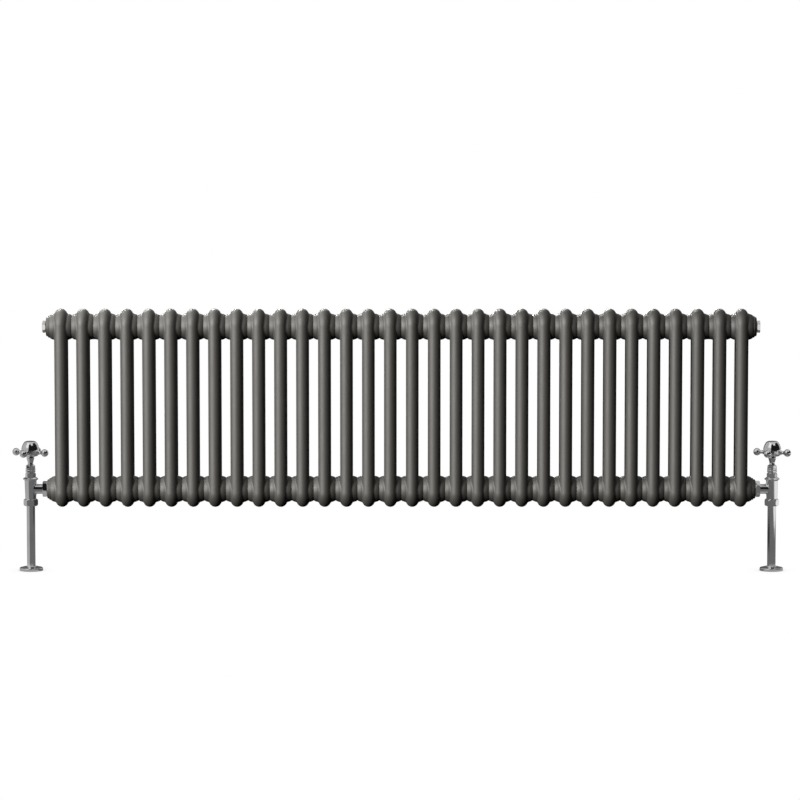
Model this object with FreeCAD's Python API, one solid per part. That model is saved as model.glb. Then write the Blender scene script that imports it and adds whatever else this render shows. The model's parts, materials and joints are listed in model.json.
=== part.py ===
import FreeCAD, Part
import math
import os

# A wall-hung two-column tubular steel radiator with a crosshead valve at each bottom end.
# Millimetres. +Z is up, the wall is the plane Y = 0 and the radiator faces -Y.
# The origin is the centre of the four wall screw holes, on the wall.

# ---- Radiator ----
SECTION_COUNT = 32
PITCH = 45.0
HEADER_SPACING = 335.0
COLUMN_SPACING = 40.0
TUBE_RADIUS = 13.0
TUBE_WALL = 1.4
ARCH_RISE = 4.0
ARCH_BLEND = 4.0
STUB_LENGTH = 32.0
WALL_TO_CENTRE = 70.0

HUB_RADIUS = 27.1
HUB_FLAT_HALF = 11.3
HUB_ROUNDING = 20.0
HUB_BORE_RADIUS = 25.2
HUB_BORE_HALF = 12.0
SEAM_BORE_RADIUS = 22.0
SEAM_BORE_LENGTH = 3.0

# ---- End bosses and plugs (G1/2 tappings, drawn as plain bores) ----
BOSS_LENGTH = 8.0
BOSS_INNER_STEP = 4.0
BOSS_BIG_RADIUS = 22.4
BOSS_SMALL_RADIUS = 19.8
BOSS_SPIGOT = 3.0
TAPPING_RADIUS = 10.45
PLUG_FLATS = 22.0
PLUG_HEAD = 6.2
PLUG_ROUNDING = 1.4
PLUG_BUTTON_RADIUS = 7.5
PLUG_BUTTON_HEIGHT = 0.8
PLUG_HOLLOW_RADIUS = 8.0
PLUG_THREAD = 12.0
SEAL_THICKNESS = 1.2
SEAL_OUTER_RADIUS = 11.4
VENT_BORE_RADIUS = 2.5
BLEED_RECESS_RADIUS = 4.6
BLEED_RECESS_DEPTH = 4.5
BLEED_SQUARE = 5.0
BLEED_CORNER_TRIM = 1.34
BLEED_SQUARE_PROUD = 0.6
BLEED_SHANK_SHORT = 2.0
BLEED_CONE = 2.0
BLEED_FLOOR_GAP = 0.4
RUNNING_GAP = 0.06

# ---- Wall fixings ----
FIXING_SPACING_X = 28 * PITCH
FIXING_DROP = 22.0
FIXING_HOLE_RADIUS = 4.0
PLATE_WIDTH = 32.0
PLATE_THICKNESS = 4.0
PLATE_BOTTOM = -32.0
BRACKET_PLATE_TOP = 8.0
STAY_PLATE_TOP = 12.0
PLATE_CORNER = 6.0
LUG_WIDTH = 16.0
LUG_THICKNESS = 4.0
LUG_TOP = 12.0
TONGUE_SETBACK = 10.0
WELD_OVERLAP = 1.0
HOOK_THICKNESS = 4.0
HOOK_SHELF_TOP = -12.0
HOOK_REACH = 32.0
HOOK_LIP_TOP = 6.0
STAY_ROD_RADIUS = 6.0

# ---- Valves: heights are above the centre of the lower header ----
VALVE_X = 762.5
TAIL_BORE_RADIUS = 6.5
BRANCH_RADIUS = 10.0
BRANCH_BLEND = 3.0
BRANCH_REACH = 29.0
SOCKET_RADIUS = 7.55
SOCKET_MOUTH = -31.0
SOCKET_STOP = -14.0
SEAT_HEIGHT = -7.5
SEAT_RADIUS = 5.5
CHAMBER_RADIUS = 9.0
BODY_FOOT = -20.0
BODY_FOOT_RADIUS = 11.2
BODY_TOP_RADIUS = 12.3
FLANGE_BOTTOM = 18.0
FLANGE_RIM_BOTTOM = 19.8
FLANGE_RIM_TOP = 21.8
FLANGE_TOP = 24.0
FLANGE_RADIUS = 15.5
FLANGE_FACE_RADIUS = 12.0

UNION_FLATS = 29.5
UNION_LENGTH = 9.2
UNION_GAP = 0.4
RIGHT_UNION_TURN = 30.0
LEFT_UNION_TURN = 6.0
NUT_ROUNDING = 2.4
HEX_CORNER_TRIM = 0.98
TAIL_NECK_RADIUS = 8.4
TAIL_COLLAR_RADIUS = 9.6
TAIL_COLLAR_LENGTH = 2.5

COMPRESSION_FLATS = 26.4
COMPRESSION_BOTTOM = -35.0
COMPRESSION_TOP = -20.4
COMPRESSION_ROUNDING = 3.6
PIPE_CLEARANCE_RADIUS = 7.75
OLIVE_FACE_RADIUS = 8.2
OLIVE_RADIUS = 9.4
OLIVE_LENGTH = 2.5
FLAT_TO_FRONT = 30.0

BONNET_BOTTOM = 9.5
BONNET_FLATS = 19.2
BONNET_HEX_TOP = 32.8
BONNET_HEX_ROUNDING = 1.2
BONNET_NECK_RADIUS = 8.6
BONNET_COLLAR_BOTTOM = 35.0
BONNET_COLLAR_CHAMFER = 1.2
BONNET_COLLAR_RADIUS = 10.0
BONNET_GROOVE = 39.2
BONNET_GROOVE_RADIUS = 9.4
BONNET_GROOVE_HALF_WIDTH = 0.8
BONNET_TOP = 43.0
THREAD_TOP = 21.0
PACKING_BOTTOM = 36.0
PACKING_TOP = 41.0
PACKING_RADIUS = 6.6
GLAND_FLATS = 18.6
GLAND_RADIUS = 9.8
GLAND_NOSE_RADIUS = 7.0
GLAND_SHOULDER = 47.8
GLAND_TOP = 50.0

STEM_RADIUS = 4.0
SPINDLE_THREAD_RADIUS = 5.5
SPINDLE_THREAD_TOP = 15.0
SPINDLE_TOP = 84.0
WASHER_THICKNESS = 3.0
WASHER_RADIUS = 7.6
JUMPER_DISC = 2.5
JUMPER_RADIUS = 8.0
JUMPER_STEM_RADIUS = 2.5
JUMPER_STEM_LENGTH = 9.0
END_PLAY = 0.3
JUMPER_GUIDE_ROOM = 0.5
JUMPER_STUB_RECESS = 0.5

CROSS_BOTTOM = 50.6
CROSS_ARM_HEIGHT = 75.7
CROSS_BALL_REACH = 32.5
CROSS_BALL_RADIUS = 7.7
CROSS_ARM_RADIUS = 3.4
CROSS_ARM_ROOT_RADIUS = 4.7
CROSS_ARM_ROOT = 10.0
CROSS_ARM_WAIST = 2.6
CROSS_BALL_COLLAR = 1.0
CROSS_BALL_OVERLAP = 1.6
CROSS_BALL_NECK = 0.6
CROSS_TURN = -21.5
DOME_RADIUS = 18.6
# Radius, height and corner radius along the neck and the dome of the crosshead.
NECK_OUTLINE = [(5.9, 50.6, 0.5), (5.5, 55.0, 6.0), (8.1, 64.0, 3.0), (7.6, 68.0, 0.8)]
DOME_OUTLINE = [(14.0, 68.0, 3.0), (DOME_RADIUS, 72.5, 4.0), (DOME_RADIUS, 84.0, 24.0),
                (15.4, 93.0, 20.0), (11.2, 98.6, 7.0), (0, 99.8, 0)]

SLEEVE_RADIUS = 8.7
SLEEVE_TOP = -35.2
FLOOR = -169.0
COLLAR_RADIUS = 24.0
COLLAR_RIM = 5.8
COLLAR_HEIGHT = 9.4
COLLAR_CROWN_RADIUS = 15.5
COLLAR_LIP_RADIUS = 11.1
COLLAR_CROWN_DROP = 1.4
COLLAR_LIP_DROP = 1.0
COLLAR_LIP_SLOPE = 0.8

# ---- Derived ----
RADIATOR_LENGTH = SECTION_COUNT * PITCH
UPPER_HEADER = HEADER_SPACING / 2 + FIXING_DROP
LOWER_HEADER = -HEADER_SPACING / 2 + FIXING_DROP
COLUMN_OFFSET = COLUMN_SPACING / 2
TUBE_BORE_RADIUS = TUBE_RADIUS - TUBE_WALL
BOSS_FACE = RADIATOR_LENGTH / 2 + BOSS_LENGTH
TAIL_START = BOSS_FACE - VALVE_X
UP = FreeCAD.Vector(0, 0, 1)
ALONG = FreeCAD.Vector(1, 0, 0)
BACK = FreeCAD.Vector(0, 1, 0)
CENTRE = FreeCAD.Vector(0, 0, 0)


# ---- Shape helpers ----
def vector(x, y, z):
    return FreeCAD.Vector(x, y, z)


def rounded_outline(corners):
    """Closed wire in the XZ plane through (x, z, radius) corners, each rounded by its radius."""
    points = [vector(x, 0, z) for x, z, _ in corners]
    spans = []
    for i, (_, _, radius) in enumerate(corners):
        here = points[i]
        to_before = (points[i - 1] - here).normalize()
        to_after = (points[(i + 1) % len(points)] - here).normalize()
        half = to_before.getAngle(to_after) / 2
        bisector = to_before + to_after
        if radius == 0 or bisector.Length < 1e-9:
            spans.append((here, here, here))
            continue
        bisector.normalize()
        reach = radius / math.tan(half)
        middle = here + bisector * (radius / math.sin(half) - radius)
        spans.append((here + to_before * reach, middle, here + to_after * reach))
    edges = []
    for i, (entry, middle, leave) in enumerate(spans):
        previous = spans[i - 1][2]
        if (entry - previous).Length > 1e-6:
            edges.append(Part.makeLine(previous, entry))
        if (leave - entry).Length > 1e-6:
            edges.append(Part.Arc(entry, middle, leave).toShape())
    return Part.Wire(edges)


def turned(corners):
    """A solid of revolution about Z from (radius, height, corner radius) corners."""
    return Part.Face(rounded_outline(corners)).revolve(CENTRE, UP, 360)


def turned_ring(inner, corners):
    """A turned solid with a plain hole of radius inner right through it."""
    heights = [height for _, height, _ in corners]
    hole = Part.makeCylinder(inner, max(heights) - min(heights) + 2, vector(0, 0, min(heights) - 1))
    return turned(corners).cut(hole)


def along_x(shape):
    """Lays a shape that stands on Z along +X."""
    return shape.rotated(CENTRE, BACK, 90)


def hexagon(flats, bottom, top, edge, turn=0.0):
    """A hexagonal prism, a corner turn degrees from +Y, its end corners turned round by edge."""
    corner = flats / math.sqrt(3)
    angles = [math.radians(60 * i + 30 + turn) for i in range(7)]
    points = [vector(corner * math.cos(angle), corner * math.sin(angle), bottom)
              for angle in angles]
    prism = Part.Face(Part.makePolygon(points)).extrude(vector(0, 0, top - bottom))
    reach = corner * HEX_CORNER_TRIM
    envelope = turned([(0, bottom, 0), (reach, bottom, edge), (reach, top, edge), (0, top, 0)])
    return prism.common(envelope)


def bore(shape, radius, bottom, top):
    """Drills a shape along Z."""
    return shape.cut(Part.makeCylinder(radius, top - bottom, vector(0, 0, bottom)))


def block(x, y, z):
    """A box between two values on each axis."""
    return Part.makeBox(x[1] - x[0], y[1] - y[0], z[1] - z[0], vector(x[0], y[0], z[0]))


def fused(shapes):
    """One solid from shapes that overlap."""
    return shapes[0].multiFuse(shapes[1:]).removeSplitter().Solids[0]


def placed(shape, x, z):
    """Moves a shape to a place on the plane of the headers."""
    return shape.translated(vector(x, -WALL_TO_CENTRE, z))


def mirrored(shape):
    """The left-hand twin of a right-hand shape."""
    return shape.mirror(CENTRE, ALONG)


# ---- Radiator section ----
def arch(radius):
    """The upside-down U of a head: half a torus on two stubs."""
    face = Part.Face(Part.Wire(Part.makeCircle(radius, vector(0, COLUMN_OFFSET, ARCH_RISE), UP)))
    bend = face.revolve(vector(0, 0, ARCH_RISE), ALONG, 180)
    length = STUB_LENGTH + ARCH_RISE
    stubs = [Part.makeCylinder(radius, length, vector(0, side * COLUMN_OFFSET, -STUB_LENGTH))
             for side in (-1, 1)]
    return fused([bend] + stubs)


def barrel():
    """The hub round the header axis, rounded down towards the seams at both ends."""
    end = PITCH / 2

    def outline(x):
        """Half of the hub's profile, as a radius at a distance from the middle."""
        drop = HUB_ROUNDING - math.sqrt(HUB_ROUNDING ** 2 - (x - HUB_FLAT_HALF) ** 2)
        return HUB_RADIUS - drop

    halfway = (HUB_FLAT_HALF + end) / 2
    left = [vector(-x, 0, outline(x)) for x in (end, halfway, HUB_FLAT_HALF)]
    right = [vector(x, 0, outline(x)) for x in (HUB_FLAT_HALF, halfway, end)]
    wire = Part.Wire([
        Part.makeLine(vector(-end, 0, 0), left[0]), Part.Arc(*left).toShape(),
        Part.makeLine(left[2], right[0]), Part.Arc(*right).toShape(),
        Part.makeLine(right[2], vector(end, 0, 0)),
        Part.makeLine(vector(end, 0, 0), vector(-end, 0, 0))])
    return Part.Face(wire).revolve(CENTRE, ALONG, 360)


def hub_bore():
    """The water way along the header, narrower where two hubs are welded together."""
    end = PITCH / 2
    straight = end - SEAM_BORE_LENGTH
    return along_x(turned([
        (0, -end, 0), (SEAM_BORE_RADIUS, -end, 0), (SEAM_BORE_RADIUS, -straight, 0),
        (HUB_BORE_RADIUS, -HUB_BORE_HALF, 0), (HUB_BORE_RADIUS, HUB_BORE_HALF, 0),
        (SEAM_BORE_RADIUS, straight, 0), (SEAM_BORE_RADIUS, end, 0), (0, end, 0)]))


def joint_edges(solid, first, second):
    """The edges of solid that lie on the surfaces of both first and second."""
    edges = []
    for edge in solid.Edges:
        middle = Part.Vertex(edge.valueAt((edge.FirstParameter + edge.LastParameter) / 2))
        gaps = [shape.Shells[0].distToShape(middle)[0] for shape in (first, second)]
        if max(gaps) < 0.01:
            edges.append(edge)
    return edges


def head_outside():
    """One head without its water way, centred on the header axis, with its arch on top."""
    bow = arch(TUBE_RADIUS)
    hub = barrel()
    solid = fused([bow, hub])
    return solid.makeFillet(ARCH_BLEND, joint_edges(solid, bow, hub))


def upper_head():
    return head_outside().cut(fused([arch(TUBE_BORE_RADIUS), hub_bore()]))


def cut_round_header(shape, head):
    """Trims a fixing, drawn from the wall at a seam, to the two heads that meet there."""
    for side in (-1, 1):
        shape = shape.cut(head.translated(vector(side * PITCH / 2, -WALL_TO_CENTRE, 0)))
    return shape


def column_tube(side):
    """One straight tube between the stubs of two heads."""
    bottom = LOWER_HEADER + STUB_LENGTH
    length = HEADER_SPACING - 2 * STUB_LENGTH
    centre = vector(0, side * COLUMN_OFFSET - WALL_TO_CENTRE, bottom)
    tube = Part.makeCylinder(TUBE_RADIUS, length, centre)
    return tube.cut(Part.makeCylinder(TUBE_BORE_RADIUS, length, centre))


def section_solids():
    head = upper_head()
    lower = head.mirror(CENTRE, UP)
    return [placed(head, 0, UPPER_HEADER), placed(lower, 0, LOWER_HEADER),
            column_tube(-1), column_tube(1)]


# ---- Ends of the headers ----
def end_boss():
    """A stepped, tapped ring welded into the end of a header; x = 0 is the header's end face."""
    spigot = SEAM_BORE_RADIUS
    ring = turned_ring(TAPPING_RADIUS, [
        (0, -BOSS_SPIGOT, 0), (spigot, -BOSS_SPIGOT, 0), (spigot, 0, 0),
        (BOSS_BIG_RADIUS, 0, 0), (BOSS_BIG_RADIUS, BOSS_INNER_STEP, 1.6),
        (BOSS_SMALL_RADIUS, BOSS_INNER_STEP, 0.5), (BOSS_SMALL_RADIUS, BOSS_LENGTH, 2.2),
        (0, BOSS_LENGTH, 0)])
    return along_x(ring)


def plug():
    """A hexagonal-headed plug; x = 0 is the face of the boss that it closes."""
    bottom = SEAL_THICKNESS
    head = hexagon(PLUG_FLATS, bottom, bottom + PLUG_HEAD, PLUG_ROUNDING, FLAT_TO_FRONT)
    thread = turned([(0, -PLUG_THREAD, 0), (TAPPING_RADIUS, -PLUG_THREAD, 1.0),
                     (TAPPING_RADIUS, bottom, 0), (0, bottom, 0)])
    return head.fuse(thread).removeSplitter()


def blanking_plug():
    """A plug hollow at the back, with a low round button on its hexagon."""
    face = SEAL_THICKNESS + PLUG_HEAD
    button = turned([
        (0, face, 0), (PLUG_BUTTON_RADIUS, face, 0),
        (PLUG_BUTTON_RADIUS - 1.0, face + PLUG_BUTTON_HEIGHT, 0.4),
        (0, face + PLUG_BUTTON_HEIGHT, 0)])
    return along_x(bore(plug(), PLUG_HOLLOW_RADIUS, -PLUG_THREAD, 0).fuse(button))


def vent_plug():
    """A plug drilled for the bleed screw, with a round recess for the key."""
    face = SEAL_THICKNESS + PLUG_HEAD
    drilled = bore(plug(), VENT_BORE_RADIUS + RUNNING_GAP, -PLUG_THREAD, face)
    return along_x(bore(drilled, BLEED_RECESS_RADIUS, face - BLEED_RECESS_DEPTH, face))


def bleed_screw():
    """A small screw with a square head for the bleed key."""
    face = SEAL_THICKNESS + PLUG_HEAD
    point = -PLUG_THREAD + BLEED_SHANK_SHORT
    foot = face - BLEED_RECESS_DEPTH + BLEED_FLOOR_GAP
    top = face + BLEED_SQUARE_PROUD
    shank = turned([(0, point, 0), (VENT_BORE_RADIUS, point + BLEED_CONE, 0),
                    (VENT_BORE_RADIUS, foot, 0), (0, foot, 0)])
    half = BLEED_SQUARE / 2
    corner = half * BLEED_CORNER_TRIM
    square = block((-half, half), (-half, half), (foot, top))
    square = square.common(turned([(0, 0, 0), (corner, 0, 0), (corner, top, 0.8), (0, top, 0)]))
    return along_x(shank.fuse(square))


def plug_seal():
    return along_x(turned_ring(TAPPING_RADIUS, [
        (0, 0, 0), (SEAL_OUTER_RADIUS, 0, 0.3), (SEAL_OUTER_RADIUS, SEAL_THICKNESS, 0.3),
        (0, SEAL_THICKNESS, 0)]))


# ---- Wall fixings: y is measured from the wall, z from the header's centre ----
def wall_plate(top):
    """The plate against the wall, with its screw hole."""
    half = PLATE_WIDTH / 2
    corners = [(x, z, PLATE_CORNER) for x, z in ((-half, PLATE_BOTTOM), (half, PLATE_BOTTOM),
                                                 (half, top), (-half, top))]
    plate = Part.Face(rounded_outline(corners)).extrude(vector(0, -PLATE_THICKNESS, 0))
    hole = Part.makeCylinder(FIXING_HOLE_RADIUS, PLATE_THICKNESS, vector(0, 0, -FIXING_DROP), -BACK)
    return plate.cut(hole)


def wall_bracket():
    """An upper bracket: a shelf with an upturned lip that the hanger lug hooks behind."""
    half = LUG_WIDTH / 2
    shelf_bottom = HOOK_SHELF_TOP - HOOK_THICKNESS
    shelf = block((-half, half), (-HOOK_REACH, -PLATE_THICKNESS + WELD_OVERLAP),
                  (shelf_bottom, HOOK_SHELF_TOP))
    lip = block((-half, half), (-HOOK_REACH, -HOOK_REACH + HOOK_THICKNESS),
                (shelf_bottom, HOOK_LIP_TOP))
    return fused([wall_plate(BRACKET_PLATE_TOP), shelf, lip])


def hanger_lug():
    """A cranked lug welded to the back of the upper header; its tongue stands on the shelf."""
    half = LUG_WIDTH / 2
    tongue_back = -HOOK_REACH + TONGUE_SETBACK
    arm = block((-half, half), (-WALL_TO_CENTRE, tongue_back), (LUG_TOP - LUG_THICKNESS, LUG_TOP))
    tongue = block((-half, half), (tongue_back - LUG_THICKNESS, tongue_back),
                   (HOOK_SHELF_TOP, LUG_TOP))
    return cut_round_header(arm.fuse(tongue).removeSplitter(), head_outside())


def lower_stay():
    """A plate and rod that hold the lower header off the wall."""
    root = -PLATE_THICKNESS + WELD_OVERLAP
    rod = Part.makeCylinder(STAY_ROD_RADIUS, WALL_TO_CENTRE + root, vector(0, root, 0), -BACK)
    stay = fused([wall_plate(STAY_PLATE_TOP), rod])
    return cut_round_header(stay, head_outside().mirror(CENTRE, UP))


def pair_at(shape, z):
    """The same fixing at both ends of the screw pattern."""
    return [shape.translated(vector(side * FIXING_SPACING_X / 2, 0, z)) for side in (-1, 1)]


# ---- Valve: built about its own axis, its branch towards -X ----
def valve_body():
    """The angle body: pipe socket below, union branch to the side, headwork on top."""
    stem = turned([
        (0, SOCKET_MOUTH, 0), (BRANCH_RADIUS, SOCKET_MOUTH, 1.0), (BRANCH_RADIUS, BODY_FOOT, 0),
        (BODY_FOOT_RADIUS, BODY_FOOT, 0), (BODY_TOP_RADIUS, FLANGE_BOTTOM, 1.0),
        (FLANGE_RADIUS, FLANGE_RIM_BOTTOM, 0.8), (FLANGE_RADIUS, FLANGE_RIM_TOP, 0.9),
        (FLANGE_FACE_RADIUS, FLANGE_TOP, 0.8), (0, FLANGE_TOP, 0)])
    branch = Part.makeCylinder(BRANCH_RADIUS, BRANCH_REACH, CENTRE, -ALONG)
    solid = stem.fuse(branch)
    joint_line = [edge for edge in solid.Edges if is_branch_joint(edge)]
    solid = solid.makeFillet(BRANCH_BLEND, joint_line)
    solid = solid.cut(Part.makeCylinder(TAIL_BORE_RADIUS, BRANCH_REACH, CENTRE, -ALONG))
    solid = bore(solid, SOCKET_RADIUS, SOCKET_MOUTH, SOCKET_STOP)
    solid = bore(solid, SEAT_RADIUS, SOCKET_STOP, SEAT_HEIGHT)
    return bore(solid, CHAMBER_RADIUS, SEAT_HEIGHT, FLANGE_TOP)


def is_branch_joint(edge):
    """True for the line where the branch leaves the body."""
    middle = edge.valueAt((edge.FirstParameter + edge.LastParameter) / 2)
    on_branch = abs(math.hypot(middle.y, middle.z) - BRANCH_RADIUS) < 0.1
    return on_branch and -BODY_TOP_RADIUS - 0.1 < middle.x < -1


def tailpiece():
    """The tail screwed into the header boss; the union nut turns on its neck."""
    start = TAIL_START
    end = -BRANCH_REACH
    collar = end - TAIL_COLLAR_LENGTH
    tail = turned_ring(TAIL_BORE_RADIUS, [
        (0, start - PLUG_THREAD, 0), (TAPPING_RADIUS, start - PLUG_THREAD, 1.0),
        (TAPPING_RADIUS, start, 0), (TAIL_NECK_RADIUS, start, 0), (TAIL_NECK_RADIUS, collar, 0),
        (TAIL_COLLAR_RADIUS, collar, 0.4), (TAIL_COLLAR_RADIUS, end, 0), (0, end, 0)])
    return along_x(tail)


def union_nut(turn):
    """The nut that draws the tail against the branch, stopped where it came tight."""
    start = TAIL_START + UNION_GAP
    end = start + UNION_LENGTH
    nut = hexagon(UNION_FLATS, start, end, NUT_ROUNDING, turn)
    nut = bore(nut, TAIL_NECK_RADIUS, start, end)
    return along_x(bore(nut, BRANCH_RADIUS, -BRANCH_REACH - TAIL_COLLAR_LENGTH, end))


def compression_nut():
    """The nut that squeezes the olive; it is hollow round the socket's thread."""
    nut = hexagon(COMPRESSION_FLATS, COMPRESSION_BOTTOM, COMPRESSION_TOP, COMPRESSION_ROUNDING,
                  FLAT_TO_FRONT)
    nut = bore(nut, PIPE_CLEARANCE_RADIUS, COMPRESSION_BOTTOM, COMPRESSION_TOP)
    return bore(nut, BRANCH_RADIUS, SOCKET_MOUTH - OLIVE_LENGTH, COMPRESSION_TOP)


def olive():
    """The soft ring squeezed on to the pipe between the nut and the socket."""
    bottom = SOCKET_MOUTH - OLIVE_LENGTH
    return turned_ring(PIPE_CLEARANCE_RADIUS, [
        (0, bottom, 0), (OLIVE_FACE_RADIUS, bottom, 0),
        (OLIVE_RADIUS, bottom + OLIVE_LENGTH / 2, 0.4), (OLIVE_FACE_RADIUS, SOCKET_MOUTH, 0),
        (0, SOCKET_MOUTH, 0)])


def bonnet():
    """The headwork screwed into the body; it carries the spindle's thread and the packing."""
    spigot = turned([(0, BONNET_BOTTOM, 0), (CHAMBER_RADIUS, BONNET_BOTTOM, 0.8),
                     (CHAMBER_RADIUS, FLANGE_TOP, 0), (0, FLANGE_TOP, 0)])
    nut = hexagon(BONNET_FLATS, FLANGE_TOP, BONNET_HEX_TOP, BONNET_HEX_ROUNDING, FLAT_TO_FRONT)
    collar = turned([
        (0, BONNET_HEX_TOP, 0), (BONNET_NECK_RADIUS, BONNET_HEX_TOP, 0),
        (BONNET_NECK_RADIUS, BONNET_COLLAR_BOTTOM - BONNET_COLLAR_CHAMFER, 0.4),
        (BONNET_COLLAR_RADIUS, BONNET_COLLAR_BOTTOM, 0.8),
        (BONNET_COLLAR_RADIUS, BONNET_GROOVE - BONNET_GROOVE_HALF_WIDTH, 0.4),
        (BONNET_GROOVE_RADIUS, BONNET_GROOVE, 0.4),
        (BONNET_COLLAR_RADIUS, BONNET_GROOVE + BONNET_GROOVE_HALF_WIDTH, 0.4),
        (BONNET_COLLAR_RADIUS, BONNET_TOP, 0.8), (0, BONNET_TOP, 0)])
    solid = fused([spigot, nut, collar])
    solid = bore(solid, SPINDLE_THREAD_RADIUS + RUNNING_GAP, BONNET_BOTTOM, THREAD_TOP)
    solid = bore(solid, STEM_RADIUS + RUNNING_GAP, THREAD_TOP, PACKING_BOTTOM)
    return bore(solid, PACKING_RADIUS, PACKING_BOTTOM, BONNET_TOP)


def gland_packing():
    return turned_ring(STEM_RADIUS + RUNNING_GAP, [
        (0, PACKING_BOTTOM, 0), (PACKING_RADIUS, PACKING_BOTTOM, 0),
        (PACKING_RADIUS, PACKING_TOP, 0), (0, PACKING_TOP, 0)])


def gland_nut():
    """The tapered nut that presses on the packing."""
    spigot = turned([(0, PACKING_TOP, 0), (PACKING_RADIUS, PACKING_TOP, 0),
                     (PACKING_RADIUS, BONNET_TOP, 0), (0, BONNET_TOP, 0)])
    shoulder = turned([(0, BONNET_TOP, 0), (GLAND_RADIUS, BONNET_TOP, 0.3),
                       (GLAND_RADIUS, GLAND_SHOULDER, 1.2), (GLAND_NOSE_RADIUS, GLAND_TOP, 0.8),
                       (0, GLAND_TOP, 0)])
    shoulder = shoulder.common(hexagon(GLAND_FLATS, BONNET_TOP, GLAND_TOP, 0.5))
    return bore(fused([spigot, shoulder]), STEM_RADIUS + RUNNING_GAP, PACKING_TOP, GLAND_TOP)


def washer():
    """The soft disc that closes the seat, held on the jumper by its stub."""
    bottom = SEAT_HEIGHT
    top = bottom + WASHER_THICKNESS
    return turned_ring(JUMPER_STEM_RADIUS, [
        (0, bottom, 0), (WASHER_RADIUS, bottom, 0.5), (WASHER_RADIUS, top, 0), (0, top, 0)])


def jumper():
    """The disc that carries the washer; its stem is guided in the end of the spindle."""
    disc = SEAT_HEIGHT + WASHER_THICKNESS
    top = disc + JUMPER_DISC
    stub = SEAT_HEIGHT + JUMPER_STUB_RECESS
    return turned([
        (0, stub, 0), (JUMPER_STEM_RADIUS, stub, 0.4),
        (JUMPER_STEM_RADIUS, disc, 0), (JUMPER_RADIUS, disc, 0.4), (JUMPER_RADIUS, top, 0.8),
        (JUMPER_STEM_RADIUS, top, 0), (JUMPER_STEM_RADIUS, top + JUMPER_STEM_LENGTH, 0.5),
        (0, top + JUMPER_STEM_LENGTH, 0)])


def spindle():
    """The stem: threaded below, plain through the packing, pressed into the crosshead."""
    bottom = SEAT_HEIGHT + WASHER_THICKNESS + JUMPER_DISC + END_PLAY
    stem = turned([
        (0, bottom, 0), (SPINDLE_THREAD_RADIUS, bottom, 0.6),
        (SPINDLE_THREAD_RADIUS, SPINDLE_THREAD_TOP, 0.6), (STEM_RADIUS, SPINDLE_THREAD_TOP + 1, 0),
        (STEM_RADIUS, SPINDLE_TOP, 0.5), (0, SPINDLE_TOP, 0)])
    guide_top = bottom + JUMPER_STEM_LENGTH + JUMPER_GUIDE_ROOM
    return bore(stem, JUMPER_STEM_RADIUS + RUNNING_GAP, bottom, guide_top)


def cross_arm():
    """One arm of the crosshead along +X: a waisted neck and a ball."""
    ball_back = CROSS_BALL_REACH - CROSS_BALL_RADIUS
    inside = ball_back + CROSS_BALL_OVERLAP
    neck = along_x(turned([
        (0, CROSS_ARM_ROOT, 0), (CROSS_ARM_ROOT_RADIUS, CROSS_ARM_ROOT, 0),
        (CROSS_ARM_ROOT_RADIUS, DOME_RADIUS, 1.0),
        (CROSS_ARM_RADIUS, DOME_RADIUS + CROSS_ARM_WAIST, 2.0),
        (CROSS_ARM_RADIUS, ball_back - CROSS_BALL_NECK, 0.8),
        (CROSS_ARM_RADIUS + CROSS_BALL_COLLAR, inside, 0), (0, inside, 0)]))
    ball = Part.makeSphere(CROSS_BALL_RADIUS, vector(CROSS_BALL_REACH, 0, 0))
    return neck.fuse(ball).translated(vector(0, 0, CROSS_ARM_HEIGHT))


def crosshead():
    """The handle: a flared neck, a domed boss and four ball-ended arms."""
    dome = turned([(0, CROSS_BOTTOM, 0)] + NECK_OUTLINE + DOME_OUTLINE)
    arms = [cross_arm().rotated(CENTRE, UP, CROSS_TURN + 90 * i) for i in range(4)]
    return bore(fused([dome] + arms), STEM_RADIUS, CROSS_BOTTOM, SPINDLE_TOP)


def pipe_sleeve():
    return turned_ring(PIPE_CLEARANCE_RADIUS, [
        (0, FLOOR, 0), (SLEEVE_RADIUS, FLOOR, 0), (SLEEVE_RADIUS, SLEEVE_TOP, 0.3),
        (0, SLEEVE_TOP, 0)])


def floor_plate():
    """The domed collar that hides the hole in the floor and slides on the sleeve."""
    top = FLOOR + COLLAR_HEIGHT
    return turned_ring(SLEEVE_RADIUS + RUNNING_GAP, [
        (0, FLOOR, 0), (COLLAR_RADIUS, FLOOR, 0.6), (COLLAR_RADIUS, FLOOR + COLLAR_RIM, 1.8),
        (COLLAR_CROWN_RADIUS, top - COLLAR_CROWN_DROP, 8.0),
        (COLLAR_LIP_RADIUS, top - COLLAR_LIP_DROP, 0.6),
        (COLLAR_LIP_RADIUS - COLLAR_LIP_SLOPE, top, 0.6), (0, top, 0)])


# ---- Writing the nodes ----
def write(name, solids):
    shape = solids[0] if len(solids) == 1 else Part.makeCompound(solids)
    for solid in solids:
        if not solid.isValid():
            print("not valid:", name)
    shape.exportStep("parts/" + name + ".step")


def write_sections():
    solids = section_solids()
    for number in range(1, SECTION_COUNT + 1):
        x = (number - 0.5) * PITCH - RADIATOR_LENGTH / 2
        write("section_%02d" % number, [solid.translated(vector(x, 0, 0)) for solid in solids])


def write_header_ends():
    end = RADIATOR_LENGTH / 2
    right_boss = end_boss()
    bosses = []
    for header in (LOWER_HEADER, UPPER_HEADER):
        bosses.append(placed(right_boss, end, header))
        bosses.append(mirrored(placed(right_boss, end, header)))
    write("end_bosses", bosses)
    write("blanking_plug", [mirrored(placed(blanking_plug(), BOSS_FACE, UPPER_HEADER))])
    write("vent_plug", [placed(vent_plug(), BOSS_FACE, UPPER_HEADER)])
    write("bleed_screw", [placed(bleed_screw(), BOSS_FACE, UPPER_HEADER)])
    seal = placed(plug_seal(), BOSS_FACE, UPPER_HEADER)
    write("plug_seals", [mirrored(seal), seal])


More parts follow.
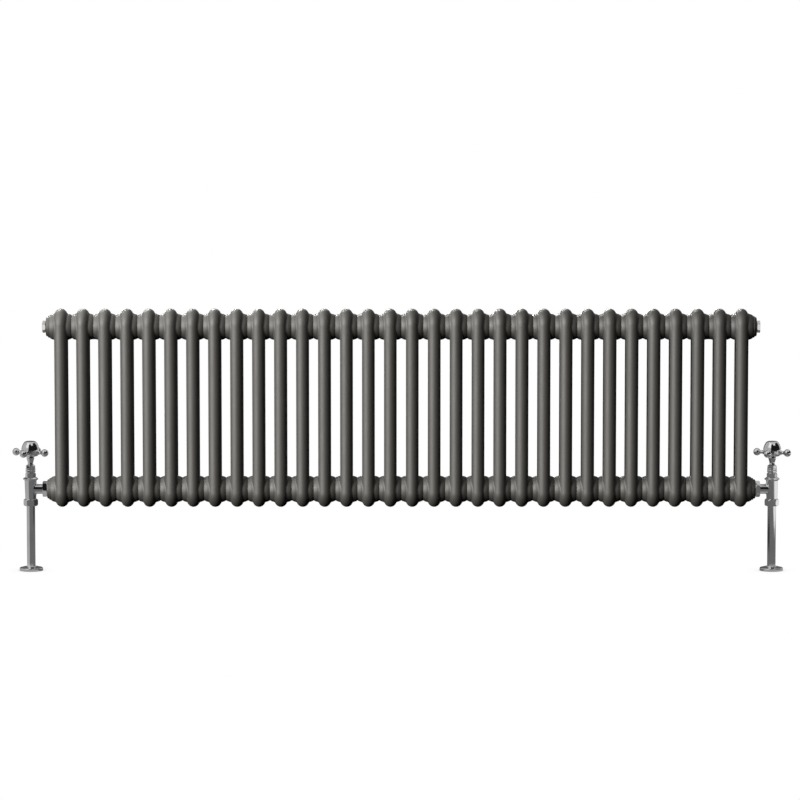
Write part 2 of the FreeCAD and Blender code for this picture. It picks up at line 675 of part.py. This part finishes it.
def write_wall_fixings():
    write("wall_brackets", pair_at(wall_bracket(), UPPER_HEADER))
    write("hanger_lugs", pair_at(hanger_lug(), UPPER_HEADER))
    write("lower_stays", pair_at(lower_stay(), LOWER_HEADER))


def write_valves():
    left_nut = mirrored(placed(union_nut(LEFT_UNION_TURN), VALVE_X, LOWER_HEADER))
    right_nut = placed(union_nut(RIGHT_UNION_TURN), VALVE_X, LOWER_HEADER)
    write("union_nuts", [left_nut, right_nut])
    fixed_pairs = {"tailpieces": tailpiece, "olives": olive, "compression_nuts": compression_nut,
                   "bonnets": bonnet, "gland_packings": gland_packing, "gland_nuts": gland_nut,
                   "pipe_sleeves": pipe_sleeve}
    for name, make in fixed_pairs.items():
        right = placed(make(), VALVE_X, LOWER_HEADER)
        write(name, [mirrored(right), right])
    sided = {"valve_body": valve_body, "spindle": spindle, "jumper": jumper, "washer": washer,
             "floor_plate": floor_plate}
    for name, make in sided.items():
        right = placed(make(), VALVE_X, LOWER_HEADER)
        write("left_" + name, [mirrored(right)])
        write("right_" + name, [right])
    handle = crosshead()
    write("left_crosshead", [placed(handle, -VALVE_X, LOWER_HEADER)])
    write("right_crosshead", [placed(handle, VALVE_X, LOWER_HEADER)])


os.makedirs("parts", exist_ok=True)
write_sections()
write_header_ends()
write_wall_fixings()
write_valves()
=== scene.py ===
import bpy
import json
import math
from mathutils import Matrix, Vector


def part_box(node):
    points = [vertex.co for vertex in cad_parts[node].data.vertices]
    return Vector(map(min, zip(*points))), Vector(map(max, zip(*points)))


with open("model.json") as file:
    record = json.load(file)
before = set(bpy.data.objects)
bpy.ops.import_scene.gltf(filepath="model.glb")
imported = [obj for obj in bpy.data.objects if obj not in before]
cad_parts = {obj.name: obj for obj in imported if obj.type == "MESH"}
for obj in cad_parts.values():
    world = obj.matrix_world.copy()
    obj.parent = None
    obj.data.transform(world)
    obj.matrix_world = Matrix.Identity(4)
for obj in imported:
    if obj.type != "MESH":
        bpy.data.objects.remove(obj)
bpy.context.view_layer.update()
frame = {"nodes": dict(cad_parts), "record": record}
NODES = frame["nodes"]

# Metres. The radiator runs along X and faces -Y. Azimuth 0 is the way it faces, + to the right.

# ---- Places, worked out from the frame ----
SECTION_LOW, SECTION_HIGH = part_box("section_01")
TUBE_CENTRE_Y = (SECTION_LOW.y + SECTION_HIGH.y) / 2
RADIATOR_MIDDLE_Z = (SECTION_LOW.z + SECTION_HIGH.z) / 2
RADIATOR_CENTRE = (0.0, TUBE_CENTRE_Y, RADIATOR_MIDDLE_Z)
ARCH_TOPS = (0.0, TUBE_CENTRE_Y, SECTION_HIGH.z)
FLOOR_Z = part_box("left_floor_plate")[0].z
PLATE_LOW, PLATE_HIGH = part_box("right_floor_plate")
VALVE_X = (PLATE_LOW.x + PLATE_HIGH.x) / 2

# ---- Camera: a long lens from far off, a little above the headers ----
CAMERA_DISTANCE = 9.5
CAMERA_ELEVATION = math.radians(6.0)
CAMERA_LENS = 208.2
SENSOR_WIDTH = 36.0
CAMERA_X = -0.0027
AIM_HEIGHT = 0.0164
CLIP_START = 0.1
CLIP_END = 200.0


def make_camera():
    data = bpy.data.cameras.new("camera")
    data.lens = CAMERA_LENS
    data.sensor_width = SENSOR_WIDTH
    data.dof.use_dof = False
    data.clip_start = CLIP_START
    data.clip_end = CLIP_END
    camera = bpy.data.objects.new("camera", data)
    bpy.context.scene.collection.objects.link(camera)
    aim = Vector((CAMERA_X, TUBE_CENTRE_Y, RADIATOR_MIDDLE_Z + AIM_HEIGHT))
    back = Vector((0, -math.cos(CAMERA_ELEVATION), math.sin(CAMERA_ELEVATION)))
    camera.location = aim + back * CAMERA_DISTANCE
    camera.rotation_euler = (-back).to_track_quat("-Z", "Y").to_euler()
    bpy.context.scene.camera = camera


# ---- Light ----
PAINTED_SLOT = "anthracite_paint"
WARM = (1.0, 0.992, 0.958)
WHITE = (1.0, 1.0, 1.0, 1.0)
BACK_SOFTBOX = (2.4, 2.0)


def nodes_by_paint(painted):
    """The painted CAD objects, or all the others."""
    return [NODES[subpart["node"]] for subpart in frame["record"]["subparts"]
            if (subpart["material_slot"] == PAINTED_SLOT) == painted]


def light_group(name, objects):
    """A collection that a lamp can be limited to."""
    group = bpy.data.collections.new(name)
    for thing in objects:
        group.objects.link(thing)
    return group


def area_light(name, place, target, size, power, group, spread=180.0, shine=True):
    """A softbox that lights only the objects of one group; spread is in degrees."""
    data = bpy.data.lights.new(name, "AREA")
    data.spread = math.radians(spread)
    data.shape = "RECTANGLE"
    data.size, data.size_y = size
    data.energy = power
    data.color = WARM
    lamp = bpy.data.objects.new(name, data)
    bpy.context.scene.collection.objects.link(lamp)
    lamp.location = place
    direction = Vector(target) - Vector(place)
    lamp.rotation_euler = direction.to_track_quat("-Z", "Y").to_euler()
    lamp.visible_camera = False
    lamp.visible_glossy = shine
    lamp.light_linking.receiver_collection = group


def make_lights():
    centre = RADIATOR_CENTRE
    painted = light_group("painted", nodes_by_paint(True))
    area_light("key_softbox", (-10.1, -9.2, 3.3), centre, (9.5, 5.2), 6500.0, painted)
    area_light("upper_left_softbox", (-1.25, -0.6, 1.2), (-1.05, -0.6, 0.0), (3.2, 1.4), 60.0,
               painted)
    area_light("left_softbox", (-2.6, -2.2, 1.3), centre, (1.2, 1.0), 8.0, painted)
    area_light("fill_softbox", (4.5, -5.5, 1.5), centre, (1.5, 3.0), 12.0, painted)
    # The shine of these two would run along the arches' rims, so they give soft light alone.
    area_light("back_right_softbox", (4.2, 7.0, 1.6), centre, BACK_SOFTBOX, 520.0, painted,
               shine=False)
    area_light("back_left_softbox", (-2.6, 7.0, 1.6), centre, BACK_SOFTBOX, 380.0, painted,
               shine=False)
    plugs = light_group("plugs", [NODES["blanking_plug"], NODES["vent_plug"]])
    area_light("plug_card", (0.0, -3.0, -0.08), (0.0, 0.0, 0.0), (3.2, 0.45), 3.4, plugs)
    area_light("back_strip", (-0.6, 2.6, 1.75), ARCH_TOPS, (2.4, 0.3), 2.5, painted, spread=10.0)


class Nodes:
    """A short way to add and join shader nodes in one tree."""

    def __init__(self, tree):
        self.tree = tree
        tree.nodes.clear()

    def add(self, kind, settings=None, **inputs):
        node = self.tree.nodes.new(kind)
        for key, value in (settings or {}).items():
            setattr(node, key, value)
        for key, value in inputs.items():
            self.feed(node.inputs[key.replace("_", " ")], value)
        return node

    def feed(self, socket, value):
        if isinstance(value, bpy.types.NodeSocket):
            self.tree.links.new(value, socket)
        else:
            socket.default_value = value

    def math(self, operation, first, second=0.0):
        node = self.tree.nodes.new("ShaderNodeMath")
        node.operation = operation
        self.feed(node.inputs[0], first)
        self.feed(node.inputs[1], second)
        return node.outputs[0]

    def product(self, *factors):
        result = factors[0]
        for factor in factors[1:]:
            result = self.math("MULTIPLY", result, factor)
        return result

    def smooth(self, value, low, high, start=0.0, end=1.0):
        """A smooth step from start to end as value goes from low to high."""
        node = self.tree.nodes.new("ShaderNodeMapRange")
        node.interpolation_type = "SMOOTHSTEP"
        for socket, number in zip(node.inputs[:5], (value, low, high, start, end)):
            self.feed(socket, number)
        return node.outputs[0]

    def band(self, value, low, high, soft, level=1.0):
        """A level where value lies between low and high, and 0 elsewhere, with soft edges."""
        return self.product(self.smooth(value, low - soft, low + soft, 0.0, level),
                            self.smooth(value, high - soft, high + soft, 1.0, 0.0))

    def azimuth(self, across, forward):
        return self.math("DEGREES", self.math("ARCTAN2", across, forward))

    def ramp(self, factor, stops):
        """Colours along a factor; a plain number stands for a grey."""
        node = self.tree.nodes.new("ShaderNodeValToRGB")
        elements = node.color_ramp.elements
        while len(elements) < len(stops):
            elements.new(0.5)
        for element, (position, value) in zip(elements, stops):
            colour = value if isinstance(value, tuple) else (value, value, value)
            element.position = position
            element.color = (*colour, 1.0)
        self.feed(node.inputs[0], factor)
        return node.outputs[0]

    def either(self, factor, plain, chosen):
        """The chosen shader where the factor is 1, and the plain one where it is 0."""
        node = self.add("ShaderNodeMixShader", Fac=factor)
        self.feed(node.inputs[1], plain)
        self.feed(node.inputs[2], chosen)
        return node.outputs[0]

    def surface(self, **inputs):
        shader = self.add("ShaderNodeBsdfPrincipled", **inputs)
        self.add("ShaderNodeOutputMaterial", Surface=shader.outputs[0])


# ---- What the chrome mirrors round it ----
# Cards in the air: azimuth span, elevation span, softness of the edges, brightness. Degrees.
GLOSSY_BASE = 0.01
GLOSSY_CARDS = [
    ((-140, -22), (-10, 62), 5, 0.45),
    ((-64, -24), (24, 58), 5, 0.45),
    ((18, 52), (40, 58), 4, 0.70),
    ((112, 160), (-10, 60), 8, 0.45),
    ((150, 181), (-10, 60), 6, 0.12),
    ((-181, -150), (-10, 60), 6, 0.12),
    ((-200, 200), (56, 100), 6, 0.55),
]
DIFFUSE_AMBIENT = 0.4
BACKGROUND = 1.0

# Sheets of painted light and painted shade on the floor round each valve, seen only in the chrome's
# reflections. They add up: a bright sheet is a painted pool of studio light, and a sheet below zero
# is a dark one, painted shade, such as the shade under the radiator. Each has
# the valve's side, the azimuth span, the distances past the valve, away from the radiator, where
# it starts and is full, the distances from the valve where it fades in and out, the brightness.
FLOOR_BASE = 0.15
ANYWHERE = (-9.0, -8.0)
SHEET_EDGE = 4
HALVES_MEET = 0.2
FLOOR_LIGHT_AND_SHADE_SHEETS = [
    (1, (15, 175), (0.45, 0.85), (0.0, 0.1), (1.4, 1.6), 0.72),
    (1, (15, 80), (0.45, 0.85), (1.4, 1.6), (1.9, 2.3), 0.62),
    (1, (80, 175), (0.45, 0.85), (1.4, 1.6), (1.9, 2.3), 0.28),
    (1, (68, 175), (0.45, 0.85), (1.9, 2.3), (20, 30), 0.60),
    (1, (-175, -58), ANYWHERE, (0.2, 0.5), (1.4, 1.6), -0.11),
    (1, (-175, -42), ANYWHERE, (1.4, 1.6), (20, 30), -0.14),
    (1, (-18, 66), ANYWHERE, (1.9, 2.2), (20, 30), -0.12),
    (1, (-60, 175), ANYWHERE, (0.0, 0.01), (0.07, 0.12), 0.22),
    (-1, (-140, -36), (0.02, 0.08), (0.0, 0.1), (1.2, 1.6), 0.28),
    (-1, (-140, -80), (0.02, 0.08), (1.2, 1.6), (20, 30), 0.35),
    (-1, (-74, -20), ANYWHERE, (1.2, 1.4), (1.9, 2.1), -0.11),
    (-1, (40, 90), ANYWHERE, (1.2, 1.4), (1.9, 2.1), -0.10),
    (-1, (-18, 66), ANYWHERE, (1.9, 2.2), (20, 30), -0.12),
    (-1, (-175, 60), ANYWHERE, (0.0, 0.01), (0.07, 0.12), 0.22),
]

# The floor is a square, and darkens where the object stands close to it.
FLOOR_REACH = 60.0
CONTACT_DISTANCE = 0.05
CONTACT_SAMPLES = 8
CONTACT_SHADE = [(0.0, 0.30), (0.5, 0.72), (0.95, 1.0)]


def make_world():
    """A studio: plain white behind the object, light and dark cards for the chrome to mirror."""
    world = bpy.data.worlds.new("studio")
    bpy.context.scene.world = world
    world.use_nodes = True
    n = Nodes(world.node_tree)
    direction = n.add("ShaderNodeTexCoord").outputs["Generated"]
    split = n.add("ShaderNodeSeparateXYZ", Vector=direction)
    forward = n.math("MULTIPLY", split.outputs["Y"], -1.0)
    azimuth = n.azimuth(split.outputs["X"], forward)
    elevation = n.math("DEGREES", n.math("ARCSINE", split.outputs["Z"]))
    mirrored = GLOSSY_BASE
    for (left, right), (low, high), soft, brightness in GLOSSY_CARDS:
        card = n.product(n.band(azimuth, left, right, soft, brightness),
                         n.band(elevation, low, high, soft))
        mirrored = n.math("ADD", card, mirrored)
    path = n.add("ShaderNodeLightPath")
    cards, ambient, seen = (n.add("ShaderNodeBackground", Color=WHITE, Strength=strength).outputs[0]
                            for strength in (mirrored, DIFFUSE_AMBIENT, BACKGROUND))
    unseen = n.either(path.outputs["Is Glossy Ray"], ambient, cards)
    n.add("ShaderNodeOutputWorld",
          Surface=n.either(path.outputs["Is Camera Ray"], unseen, seen))


def floor_sheet(n, place, forward, side, span, outside, fade_in, fade_out, brightness):
    """One sheet of painted light, or of painted shade where its brightness is below zero, in its
    own valve's half.
    """
    across = n.math("ADD", place.outputs["X"], -side * VALVE_X)
    reach = n.math("SQRT", n.math("ADD", n.math("POWER", across, 2.0),
                                  n.math("POWER", forward, 2.0)))
    own_side = n.math("MULTIPLY", place.outputs["X"], side)
    return n.product(n.band(n.azimuth(across, forward), *span, SHEET_EDGE),
                     n.smooth(n.math("MULTIPLY", across, side), *outside),
                     n.smooth(reach, *fade_in), n.smooth(reach, *fade_out, 1.0, 0.0),
                     n.smooth(own_side, -HALVES_MEET, HALVES_MEET), brightness)


def make_floor():
    """A wide floor: white with a soft painted contact shadow where it is seen, and sheets of
    painted light and painted shade where mirrored.
    """
    mesh = bpy.data.meshes.new("floor")
    corners = [(x * FLOOR_REACH, y * FLOOR_REACH, FLOOR_Z)
               for x, y in ((-1, -1), (1, -1), (1, 1), (-1, 1))]
    mesh.from_pydata(corners, [], [(0, 1, 2, 3)])
    floor = bpy.data.objects.new("floor", mesh)
    bpy.context.scene.collection.objects.link(floor)
    material, n = new_material("floor")
    openness = n.add("ShaderNodeAmbientOcclusion", {"samples": CONTACT_SAMPLES},
                     Distance=CONTACT_DISTANCE)
    contact = n.ramp(openness.outputs["AO"], CONTACT_SHADE)
    seen = n.add("ShaderNodeEmission", Color=contact, Strength=1.0)
    place = n.add("ShaderNodeSeparateXYZ", Vector=n.add("ShaderNodeTexCoord").outputs["Object"])
    forward = n.math("SUBTRACT", TUBE_CENTRE_Y, place.outputs["Y"])
    # The glow that the chrome mirrors: painted light, with painted shade where a sheet falls below
    # zero.
    mirrored = FLOOR_BASE
    for sheet in FLOOR_LIGHT_AND_SHADE_SHEETS:
        mirrored = n.math("ADD", mirrored, floor_sheet(n, place, forward, *sheet))
    unseen = n.add("ShaderNodeEmission", Color=WHITE, Strength=mirrored)
    path = n.add("ShaderNodeLightPath")
    n.add("ShaderNodeOutputMaterial",
          Surface=n.either(path.outputs["Is Camera Ray"], unseen.outputs[0], seen.outputs[0]))
    floor.data.materials.append(material)
    # The glowing floor would light the undersides of the painted pieces too much.
    floor.light_linking.receiver_collection = light_group("unpainted", nodes_by_paint(False))


# ---- Materials: noise scales are in waves per metre, bump distances in metres ----
PAINT_COLOURS = (0.0172, 0.0163, 0.0144), (0.0202, 0.0192, 0.0170)
PAINT_ROUGHNESS = 0.59, 0.65
CHROME_COLOURS = (0.80, 0.80, 0.81), (0.88, 0.88, 0.88)
CHROME_ROUGHNESS = 0.035, 0.11
BRASS_COLOURS = (0.56, 0.38, 0.14), (0.80, 0.60, 0.28)
BRASS_ROUGHNESS = 0.36, 0.2
RUBBER_GREY = 0.012
GRAPHITE_GREY = 0.03
DUST_LIGHTER = 1.8
RUBBER_ROUGHNESS = 0.75


def new_material(name):
    material = bpy.data.materials.new(name)
    material.use_nodes = True
    return material, Nodes(material.node_tree)


def object_noise(n, scale, detail=2.0, roughness=0.5):
    place = n.add("ShaderNodeTexCoord").outputs["Object"]
    noise = n.add("ShaderNodeTexNoise", Vector=place, Scale=scale, Detail=detail,
                  Roughness=roughness)
    return noise.outputs["Fac"]


def vary(n, noise, values, low=0.3, high=0.7):
    """From one value to the other over the middle of a noise."""
    return n.ramp(noise, [(low, values[0]), (high, values[1])])


def bump(n, height, strength, distance):
    return n.add("ShaderNodeBump", Height=height, Strength=strength, Distance=distance).outputs[0]


def paint_material():
    """Satin anthracite powder coat: fine orange peel, slight patchiness."""
    material, n = new_material("anthracite_paint")
    colour = vary(n, object_noise(n, 9.0, detail=3.0), PAINT_COLOURS)
    sheen = vary(n, object_noise(n, 26.0, detail=4.0), PAINT_ROUGHNESS)
    peel = bump(n, object_noise(n, 900.0), strength=0.10, distance=0.0004)
    n.surface(Base_Color=colour, Roughness=sheen, Normal=peel, Metallic=0.0)
    return material


def chrome_material():
    """Polished chrome with faint wipe marks."""
    material, n = new_material("chrome_plate")
    marks = object_noise(n, 60.0, detail=5.0, roughness=0.6)
    roughness = vary(n, marks, CHROME_ROUGHNESS, 0.35, 0.75)
    colour = vary(n, object_noise(n, 30.0), CHROME_COLOURS)
    ripple = bump(n, object_noise(n, 140.0), strength=0.06, distance=0.0006)
    n.surface(Base_Color=colour, Roughness=roughness, Normal=ripple, Metallic=1.0)
    return material


def brass_material():
    """Turned brass, duller and darker in patches."""
    material, n = new_material("brass")
    tarnish = object_noise(n, 220.0, detail=4.0)
    n.surface(Base_Color=vary(n, tarnish, BRASS_COLOURS),
              Roughness=vary(n, tarnish, BRASS_ROUGHNESS), Metallic=1.0)
    return material


def rubber_material(name, value):
    """A dull black stuff with a little dust and grain."""
    material, n = new_material(name)
    dust = object_noise(n, 300.0, detail=3.0)
    colour = vary(n, dust, (value, value * DUST_LIGHTER))
    grain = bump(n, dust, strength=0.2, distance=0.0002)
    n.surface(Base_Color=colour, Roughness=RUBBER_ROUGHNESS, Normal=grain)
    return material


def paint_nodes():
    materials = {PAINTED_SLOT: paint_material(), "chrome_plate": chrome_material(),
                 "brass": brass_material(), "rubber": rubber_material("rubber", RUBBER_GREY),
                 "graphite_packing": rubber_material("graphite_packing", GRAPHITE_GREY)}
    for subpart in frame["record"]["subparts"]:
        node = NODES[subpart["node"]]
        node.data.materials.clear()
        node.data.materials.append(materials[subpart["material_slot"]])
        # The chrome mirrors the pale studio alone, and not the dark radiator beside it.
        node.visible_glossy = subpart["material_slot"] != PAINTED_SLOT


make_camera()
make_lights()
make_world()
make_floor()
paint_nodes()
bpy.context.scene.view_settings.view_transform = "Standard"
